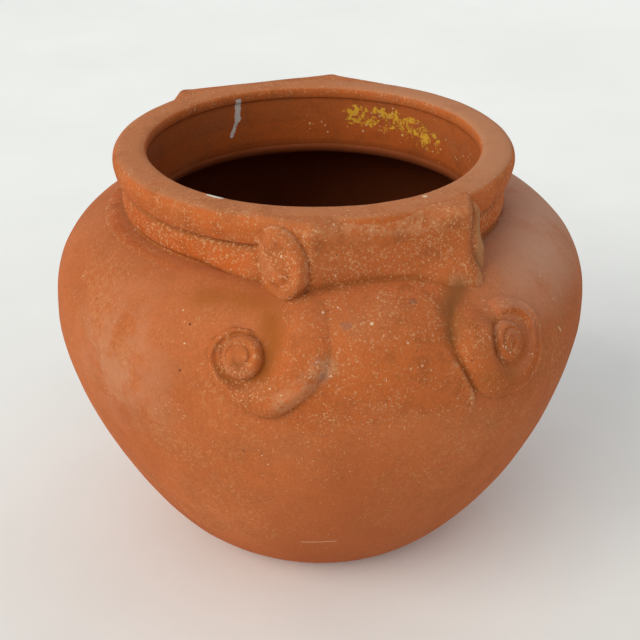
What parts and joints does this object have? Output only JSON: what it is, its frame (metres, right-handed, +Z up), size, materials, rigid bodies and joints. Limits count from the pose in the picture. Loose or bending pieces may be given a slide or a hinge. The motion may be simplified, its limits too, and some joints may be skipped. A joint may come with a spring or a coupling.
{
  "type": "terracotta planter",
  "caption": "Squat round terracotta plant pot with a thick flat rim, opposite scrolled brackets over the neck, raised aprons and curled scrolls on the shoulder, and a drain hole.",
  "frame": {"origin": "on the floor, at the centre of the pot's foot", "axes": "+Z up out of the mouth; the front bracket faces -Y; +X to the right of someone facing the front"},
  "size_m": [0.44, 0.4426, 0.343],
  "materials": {
    "base_clay": "matte unglazed fired clay",
    "body_clay": "matte unglazed fired clay",
    "neck_clay": "matte unglazed fired clay",
    "rim_clay": "matte unglazed fired clay",
    "bracket_clay": "matte unglazed fired clay",
    "scroll_clay": "matte unglazed fired clay"
  },
  "bodies": {
    "root": {"base_slab": "base_clay", "bowl_wall": "body_clay", "shoulder_wall": "body_clay", "neck_collar": "neck_clay", "rim_ring": "rim_clay", "front_bracket": "bracket_clay", "front_apron": "scroll_clay", "front_left_volute": "bracket_clay", "front_left_ribbon": "scroll_clay", "front_left_coil": "scroll_clay", "front_right_volute": "bracket_clay", "front_right_ribbon": "scroll_clay", "front_right_coil": "scroll_clay", "rear_bracket": "bracket_clay", "rear_apron": "scroll_clay", "rear_left_volute": "bracket_clay", "rear_left_ribbon": "scroll_clay", "rear_left_coil": "scroll_clay", "rear_right_volute": "bracket_clay", "rear_right_ribbon": "scroll_clay", "rear_right_coil": "scroll_clay"}
  },
  "joints": []
}
